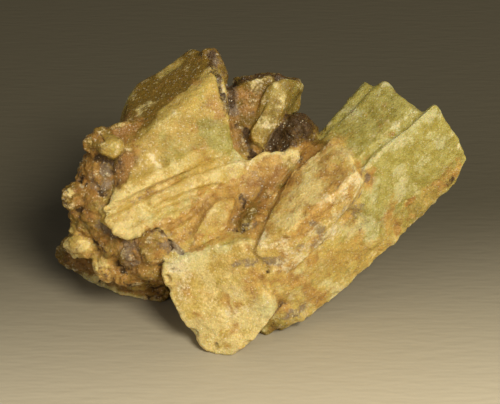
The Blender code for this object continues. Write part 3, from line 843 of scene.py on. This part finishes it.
def roughen(points, normals, looks, edge, fillet, marks):
    """Moves each point along its normal: swells, waves, growth steps, sugary grains, lumps of crust,
    chipped edges and marks, each its own noise times how strong it is in the finish there. A slow drift
    bends the whole surface a little. Also gives how deep each point lies in a crease of the crust."""
    waves, sugar, crust = looks["waves"], looks["sugar"], looks["crust"]
    lumps, crease = crust_lumps(points)
    height = fillet + SWELL_HEIGHT * layered(points, *SWELL)
    height += waves * WAVE_HEIGHT * layered(points, *WAVES)
    height += looks["steps"] * TERRACE_HEIGHT * growth_terraces(points)
    height += sugar * facets(points, COARSE_SUGAR, lean=0.08, fall=0.04, groove=0.02)
    height += sugar * facets(points, FINE_SUGAR, lean=0.035, fall=0.02)
    height += crust * lumps
    chips = ease(0.15, 0.6, layered(points, *CHIPS, 2))
    height -= edge * (0.1 + 0.6 * waves + 0.5 * sugar) * CHIP_DEPTH * chips
    height += marks["rise"] - marks["groove"] - marks["pit"] * (0.8 + 0.3 * soft_noise(points, *PIT_FLOOR))
    drift = wander(points, *DRIFT) * (0.12 + 0.22 * waves[:, None])
    return settled(points, points + drift + normals * height[:, None]), crust * crease


def tinted(points, looks, hollow, edge, marks):
    """Shares of each tint: the finish, plus marks, plus what noise, hollows and edges bring. Hollows get
    more stain, grey and dirt and less pale, partly as dirt and partly as painted shade, and rough crystals
    get more of it than smooth ones. Edges get more pale and frost, partly as worn frost and partly as a
    painted highlight."""
    patchy = layered(points, *PATCHES)
    fine = layered(points, *FLECKS)
    hollow = hollow * (0.35 + 0.65 * ease(0.35, 0.8, looks["waves"]))
    cleared = marks["pale"]
    tint = {name: looks[name] + marks[name] for name in TINTS}
    tint["green"] += 0.20 * patchy - 0.6 * marks["stain"]
    tint["tan"] -= 0.5 * cleared
    # In hollows: less pale, more stain, grey and dirt, partly dirt and partly painted shade.
    tint["pale"] += (0.2 + 0.3 * looks["green"]) * fine + 0.2 * patchy + 0.2 * edge - 0.3 * hollow
    tint["stain"] += 0.3 * layered(points, *STAINS) + 0.45 * hollow - 0.2 * edge - 0.8 * cleared
    tint["grey"] += 0.35 * ease(0.4, 0.9, hollow + 0.4 * fine) - 0.5 * cleared
    tint["dirt_and_shade"] += 0.55 * ease(0.45, 1.1, hollow + 0.3 * fine)
    # Edges get more frost here, and more pale above: partly worn frost, partly a painted highlight.
    tint["frost"] = marks["frost"] + 0.3 * ease(0.5, 1.1, fine + 0.6 * edge)
    return {name: np.clip(value, 0, 1) for name, value in tint.items()}


def finished_piece(name, crystals, voxel, material):
    """A group of crystals grown together, roughened and tinted, as a piece that stands for the specimen.
    Edges and hollows come from how far a point stands out, and hollows also from where groups meet."""
    mesh = grown_together(name, crystals, voxel)
    points, normals = arrays_of(mesh)
    looks, fillet, close = survey(points, crystals)
    stand = bulge(mesh, points, normals, voxel)
    edge = ease(*EDGE_STANDS, stand)
    # hollow: how deep a point lies in a hollow or near another group; it brings painted shade as well as
    # dirt.
    hollow = np.maximum(ease(*HOLLOW_LIES, -stand), CREVICE_SHARE * close)
    marks = marks_at(points)
    moved, crease = roughen(points, normals, looks, edge, fillet, marks)
    hollow = np.maximum(hollow, CREASE_SHARE * crease)
    place_points(mesh, moved * MM)
    for tint, shares in tinted(points, looks, hollow, edge, marks).items():
        mesh.attributes.new(tint, "FLOAT", "POINT").data.foreach_set("value", shares.astype(np.float32))
    mesh.shade_smooth()
    mesh.materials.append(material)
    piece = bpy.data.objects.new(name, mesh)
    bpy.context.scene.collection.objects.link(piece)
    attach(piece, "root")
    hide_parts(NODE)


# ---------------------------------------------------------------- materials


class Nodes:
    """Short calls for a material's nodes. Most give the socket that carries the result."""

    def __init__(self, name):
        self.material = bpy.data.materials.new(name)
        self.material.use_nodes = True
        self.tree = self.material.node_tree
        self.shader = self.tree.nodes["Principled BSDF"]

    def add(self, kind, **settings):
        """A new node with its settings."""
        node = self.tree.nodes.new(kind)
        for key, value in settings.items():
            setattr(node, key, value)
        return node

    def link(self, source, target):
        """Joins an output to an input."""
        self.tree.links.new(source, target)

    def feed(self, socket, value):
        """Joins an output to an input, or sets the input to a number."""
        if isinstance(value, bpy.types.NodeSocket):
            self.link(value, socket)
        else:
            socket.default_value = value

    def place(self):
        """Where each point of the object is."""
        return self.add("ShaderNodeTexCoord").outputs["Object"]

    def value(self, name):
        """The number of that name at each point of the mesh."""
        return self.add("ShaderNodeAttribute", attribute_name=name).outputs["Fac"]

    def math(self, operation, first, second=0.0, third=0.0):
        """A sum, a product or another operation on up to three numbers."""
        node = self.add("ShaderNodeMath", operation=operation)
        for socket, value in zip(node.inputs, (first, second, third)):
            self.feed(socket, value)
        return node.outputs[0]

    def vector(self, operation, first, second=None, scale=None):
        """The same for vectors; the scale is a number that multiplies one."""
        node = self.add("ShaderNodeVectorMath", operation=operation)
        self.feed(node.inputs[0], first)
        if second is not None:
            self.feed(node.inputs[1], second)
        if scale is not None:
            self.feed(node.inputs["Scale"], scale)
        return node.outputs[0]

    def mix(self, share, first, second):
        """The first colour, with a share of the second."""
        node = self.add("ShaderNodeMix", data_type="RGBA")
        self.feed(node.inputs[0], share)
        self.feed(node.inputs[6], first)
        self.feed(node.inputs[7], second)
        return node.outputs[2]

    def stretch(self, value, low, high, start=0.0, end=1.0):
        """From start to end, in a smooth step, while the value goes from low to high."""
        node = self.add("ShaderNodeMapRange", interpolation_type="SMOOTHSTEP")
        for socket, number in zip(node.inputs, (value, low, high, start, end)):
            self.feed(socket, number)
        return node.outputs[0]

    def noise(self, place, size, detail=3.0, rough=0.55):
        """Soft noise of that size in mm."""
        node = self.add("ShaderNodeTexNoise")
        self.link(place, node.inputs["Vector"])
        node.inputs["Scale"].default_value = 1 / (size * MM)
        node.inputs["Detail"].default_value = detail
        node.inputs["Roughness"].default_value = rough
        return node.outputs["Fac"]

    def cells(self, place, size):
        """Cells of that size in mm: the distance to the nearest seed, and the cell's random colour."""
        node = self.add("ShaderNodeTexVoronoi")
        self.link(place, node.inputs["Vector"])
        node.inputs["Scale"].default_value = 1 / (size * MM)
        return node.outputs["Distance"], node.outputs["Color"]

    def parts(self, paint):
        """A colour's red, green and blue."""
        node = self.add("ShaderNodeSeparateColor")
        self.link(paint, node.inputs[0])
        return list(node.outputs)

    def tilted(self, pick, amount):
        """A random lean for each cell: its random colour less a half, times the amount."""
        return self.vector("SCALE", self.vector("SUBTRACT", pick, (0.5, 0.5, 0.5)), scale=amount)

    def bump(self, height, strength, depth):
        """The normal of a surface with that relief, whose depth is in mm."""
        node = self.add("ShaderNodeBump")
        node.inputs["Strength"].default_value = strength
        node.inputs["Distance"].default_value = depth * MM
        self.link(height, node.inputs["Height"])
        return node.outputs[0]


def colour(red, green, blue):
    """An opaque colour, in linear light."""
    return (red, green, blue, 1.0)


WAXY = colour(0.560, 0.410, 0.105)
HONEY = colour(0.500, 0.340, 0.080)
OLIVE = colour(0.355, 0.295, 0.062)
PALE_OLIVE = colour(0.435, 0.380, 0.110)
CREAM = colour(0.730, 0.570, 0.225)
FROST_GREEN = colour(0.530, 0.490, 0.225)
TAN = colour(0.190, 0.115, 0.015)
RUST = colour(0.290, 0.135, 0.030)
ORANGE = colour(0.580, 0.355, 0.090)
GREY = colour(0.210, 0.155, 0.105)
DIRT_AND_SHADE = colour(0.070, 0.038, 0.012)
FROST = colour(0.760, 0.640, 0.370)
GLINT_WHITE = colour(0.820, 0.760, 0.580)
BOARD_FRONT = colour(0.80, 0.71, 0.52)
BOARD_PAINTED_SHADE = colour(0.092, 0.080, 0.050)
ROOM = colour(0.80, 0.76, 0.66)

GRAIN, SUGAR = 0.30, 0.17  # cells of the crystals' grain and of the finer sugar on it, mm
GRAIN_DEPTH = 0.09  # mm
GRAIN_LEAN, SUGAR_LEAN = 0.28, 0.8  # how far their facets tilt the light
HALF = 0.5  # the middle of a noise


def broken(n, place, small, name, shift, spread):
    """A tint's share, pushed up and down by a noise of its own, whose place is shifted, and by the small
    noise, then stretched so that it ends in patches and flecks."""
    moved = n.vector("ADD", place, (shift, shift * 0.6, shift * 0.3))
    patches = n.math("SUBTRACT", n.noise(moved, 1.7, 3.0, 0.6), HALF)
    flecks = n.math("SUBTRACT", small, HALF)
    share = n.math("MULTIPLY_ADD", patches, spread * 2.0, n.value(name))
    share = n.math("MULTIPLY_ADD", flecks, spread * 1.1, share)
    return n.stretch(share, 0.22, 0.78)


def layers_of_tint(n, place, small):
    """The waxy colour under each tint in turn. Where the crystal is tan its stain is rust, elsewhere it
    is orange; where it is green its pale bloom is greenish."""
    broad, middle = n.noise(place, 4.2), n.noise(place, 1.25)
    olive = n.mix(n.stretch(middle, 0.38, 0.62), OLIVE, PALE_OLIVE)
    bloom = n.mix(n.value("green"), CREAM, FROST_GREEN)
    fresh = n.math("MULTIPLY_ADD", n.value("tan"), -0.75, 1.0)
    stain = n.mix(n.math("MULTIPLY", n.stretch(middle, 0.24, 0.72), fresh), RUST, ORANGE)
    # The tint, the shift of its noise in metres, how broken up it is, how thickly it covers, its colour.
    layers = (
        ("green", 0.1, 0.5, 1.0, olive),
        ("tan", 0.2, 0.3, 1.0, TAN),
        ("pale", 0.3, 0.6, 1.0, bloom),
        ("stain", 0.4, 0.7, 0.85, stain),
        ("grey", 0.5, 0.7, 0.8, GREY),
        ("frost", 0.7, 0.8, 0.8, FROST),
        ("dirt_and_shade", 0.6, 0.6, 1.0, DIRT_AND_SHADE),
    )
    tint = n.mix(n.stretch(broad, 0.35, 0.65), WAXY, HONEY)
    for name, shift, spread, cover, paint in layers:
        share = n.math("MULTIPLY", broken(n, place, small, name, shift, spread), cover)
        tint = n.mix(share, tint, paint)
    return tint


def sugary_crystal():
    """Waxy crystal with light scattered under its surface. Its grain varies in shade, tilt and gloss. Of
    the finer sugar a few cells are painted white, partly as white grains and partly as painted glints, more
    where it is frosted; and one in four is a facet that catches the light."""
    n = Nodes("sugary_heulandite")
    place = n.place()
    small = n.noise(place, 0.36, 1.0)
    depth, grain = n.cells(place, GRAIN)
    sugar = n.cells(place, SUGAR)[1]
    _, darker, duller = n.parts(grain)
    white, _, facet = n.parts(sugar)

    # Painted glints: a few sugar cells are mixed towards white, more on frost; partly white grains, partly
    # painted glints.
    glint = n.math("MULTIPLY_ADD", n.value("frost"), 0.5, 0.34)
    white_specks_and_glints = n.math("MULTIPLY", n.stretch(white, 0.955, 0.98), glint)
    tint = n.mix(white_specks_and_glints, layers_of_tint(n, place, small), GLINT_WHITE)
    shade = n.math("MULTIPLY_ADD", darker, 0.14, 0.94)
    shade = n.math("MULTIPLY", shade, n.stretch(depth, 0.85, 0.45, 0.92, 1.0))
    shade = n.math("MULTIPLY", shade, n.math("MULTIPLY_ADD", small, 0.24, 0.88))
    n.link(n.vector("SCALE", tint, scale=shade), n.shader.inputs["Base Color"])

    gloss = n.stretch(duller, 0.0, 1.0, 0.32, 0.65)
    gloss = n.math("MAXIMUM", gloss, n.math("MULTIPLY", n.value("dirt_and_shade"), 0.7))
    n.link(gloss, n.shader.inputs["Roughness"])

    sparkle = n.tilted(sugar, n.stretch(facet, 0.70, 0.80, 0.0, SUGAR_LEAN))
    leaning = n.vector("ADD", n.tilted(grain, GRAIN_LEAN), sparkle)
    grainy = n.bump(n.math("MULTIPLY_ADD", depth, -0.6, small), 1.0, GRAIN_DEPTH)
    normal = n.vector("NORMALIZE", n.vector("ADD", grainy, leaning))
    n.link(normal, n.shader.inputs["Normal"])
    n.shader.inputs["IOR"].default_value = 1.5
    n.shader.inputs["Specular IOR Level"].default_value = 0.28
    n.shader.inputs["Subsurface Weight"].default_value = 0.5
    n.shader.inputs["Subsurface Radius"].default_value = (1.0, 0.65, 0.3)
    n.shader.inputs["Subsurface Scale"].default_value = 1.1 * MM
    return n.material


def pale_board():
    """Matt board with a fine ripple across it. It darkens, in a smooth step, towards the back: painted
    shade, as of light falling off behind the specimen, set a little askew so that the right side stays pale
    further back.
    """
    n = Nodes("pale_board")
    place = n.place()
    away = n.add("ShaderNodeSeparateXYZ")
    n.link(place, away.inputs[0])
    # Painted shade: the board's colour goes from pale in front to dark behind.
    back = n.math("MULTIPLY_ADD", away.outputs[0], -0.08, away.outputs[1])
    shade = n.mix(n.stretch(back, -62 * MM, 20 * MM), BOARD_FRONT, BOARD_PAINTED_SHADE)
    n.link(shade, n.shader.inputs["Base Color"])
    n.shader.inputs["Roughness"].default_value = 0.75
    ripple = n.add("ShaderNodeMapping")
    n.link(place, ripple.inputs[0])
    ripple.inputs["Scale"].default_value = (0.22, 1.0, 1.0)
    n.link(n.bump(n.noise(ripple.outputs[0], 1.1, 1.0), 0.35, 0.3), n.shader.inputs["Normal"])
    return n.material


# ---------------------------------------------------------------- floor, light and camera


def floor():
    """A plain pale surface to stand on: one large square round the middle."""
    half = 1500 * MM
    corners = np.array(((-half, -half, 0), (half, -half, 0), (half, half, 0), (-half, half, 0)))
    mesh = array_mesh("floor", corners, np.array(((0, 1, 2, 3),)))
    mesh.materials.append(pale_board())
    board = bpy.data.objects.new("floor", mesh)
    bpy.context.scene.collection.objects.link(board)


def lamp(name, azimuth, elevation, distance, size, power, tint):
    """A square soft box that looks at the specimen; azimuth is turned to the right from the camera."""
    light = bpy.data.lights.new(name, "AREA")
    light.size, light.energy, light.color = size * MM, power, tint
    azimuth, elevation = math.radians(azimuth), math.radians(elevation)
    level = math.cos(elevation)
    away = np.array((math.sin(azimuth) * level, -math.cos(azimuth) * level, math.sin(elevation)))
    holder = bpy.data.objects.new(name, light)
    holder.location = (CAMERA_TARGET * (1, 1, 0.5) + away * distance) * MM
    holder.rotation_euler = (math.pi / 2 - elevation, 0, azimuth)
    bpy.context.scene.collection.objects.link(holder)


def studio():
    """A warm key light from the front right, a weak fill from the left and a dim grey room."""
    lamp("key_light", azimuth=34, elevation=46, distance=420, size=150, power=1.9, tint=(1.0, 0.93, 0.80))
    lamp("fill_light", azimuth=-50, elevation=30, distance=450, size=260, power=0.3, tint=(1.0, 0.95, 0.86))
    world = bpy.data.worlds.new("room")
    world.use_nodes = True
    world.node_tree.nodes["Background"].inputs["Color"].default_value = ROOM
    world.node_tree.nodes["Background"].inputs["Strength"].default_value = 0.12
    bpy.context.scene.world = world
    bpy.context.scene.view_settings.view_transform = "Standard"


def camera():
    """A long lens that looks at the specimen from the front and above."""
    lens = bpy.data.cameras.new("camera")
    lens.lens, lens.sensor_width, lens.clip_start = LENS, SENSOR, 0.01
    holder = bpy.data.objects.new("camera", lens)
    holder.location = CAMERA_PLACE * MM
    holder.rotation_euler = (math.pi / 2 - CAMERA_ELEVATION, 0, 0)
    bpy.context.scene.collection.objects.link(holder)
    bpy.context.scene.camera = holder


# ---------------------------------------------------------------- making it

crystal_material = sugary_crystal()
for piece_name, members in GROUPS.items():
    fineness = REAR_VOXEL if piece_name == "rear_matrix" else VOXEL
    finished_piece(piece_name, members, fineness, crystal_material)
floor()
studio()
camera()
